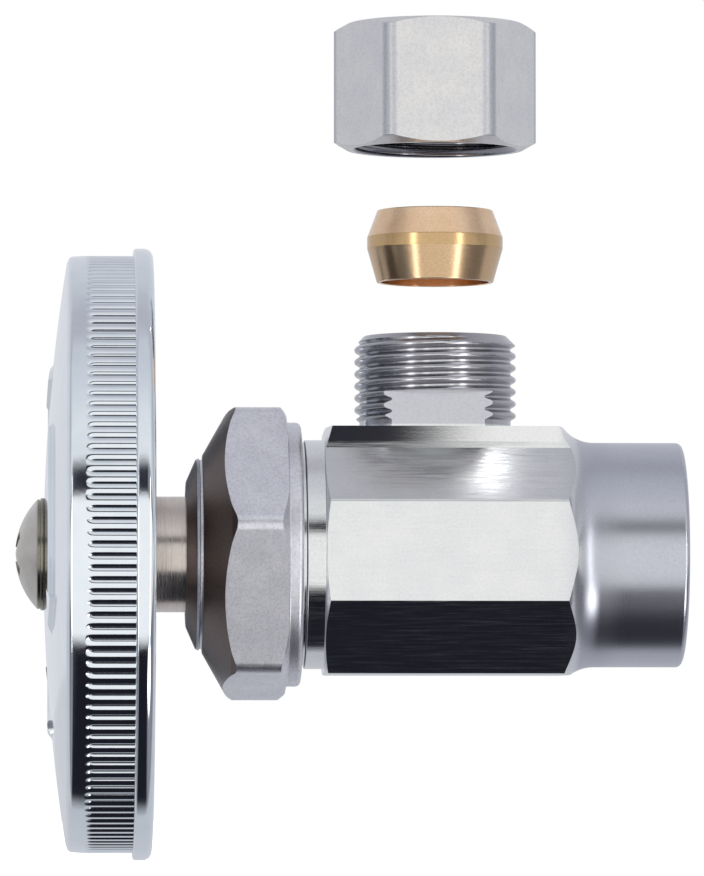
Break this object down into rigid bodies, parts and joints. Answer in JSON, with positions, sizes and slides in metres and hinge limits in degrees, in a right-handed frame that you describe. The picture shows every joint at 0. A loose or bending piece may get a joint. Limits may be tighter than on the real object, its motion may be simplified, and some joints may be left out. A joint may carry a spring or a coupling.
{
  "type": "angle stop valve",
  "caption": "Chrome angle stop valve with a sweat inlet socket, compression outlet with nut and ferrule, packing nut, and a round handle wheel that screws the seat washer shut.",
  "frame": {"origin": "centre of the inlet socket's mouth", "axes": "+X out of the inlet socket along the stem's axis, +Z along the outlet, +Y away from the front"},
  "size_m": [0.0588, 0.0538, 0.0739],
  "materials": {
    "body_chrome": "polished chrome plating over machined brass",
    "packing_nut_chrome": "satin chrome plating over forged brass",
    "wheel_chrome": "bright chrome plating over die-cast zinc",
    "compression_nut_chrome": "bright chrome plating over machined brass",
    "screw_steel": "plain cold-headed steel",
    "stem_brass": "turned brass, dulled",
    "ferrule_brass": "turned bare brass",
    "brass": "turned bare brass",
    "black_rubber": "moulded rubber"
  },
  "bodies": {
    "root": {"valve_body": "body_chrome", "packing_nut": "packing_nut_chrome", "packing_washer": "brass", "packing_ring": "black_rubber"},
    "washer": {"seat_washer": "black_rubber"},
    "spindle": {"stem": "stem_brass", "seat_washer_screw": "brass", "handle_wheel": "wheel_chrome", "handle_screw": "screw_steel"},
    "outlet_nut": {"compression_nut": "compression_nut_chrome"},
    "outlet_ferrule": {"ferrule": "ferrule_brass"}
  },
  "joints": [
    {"name": "stem_travel", "type": "slide", "parent": "root", "child": "washer", "axis": [1, 0, 0], "range_m": [0, 0.00317]},
    {"name": "handle_turn", "type": "hinge", "parent": "washer", "child": "spindle", "pos_m": [-0.0519, 0, 0], "axis": [1, 0, 0], "range_deg": [0, 720]},
    {"name": "nut_lift", "type": "slide", "parent": "root", "child": "outlet_nut", "axis": [0, 0, 1], "range_m": [-0.0214, 0]},
    {"name": "ferrule_lift", "type": "slide", "parent": "root", "child": "outlet_ferrule", "axis": [0, 0, 1], "range_m": [-0.00604, 0]}
  ],
  "couplings": [
    {"joint": "stem_travel", "follows": "handle_turn", "m_per_rad": 0.00025266},
    {"joint": "ferrule_lift", "follows": "nut_lift", "ratio": 0.2822}
  ]
}
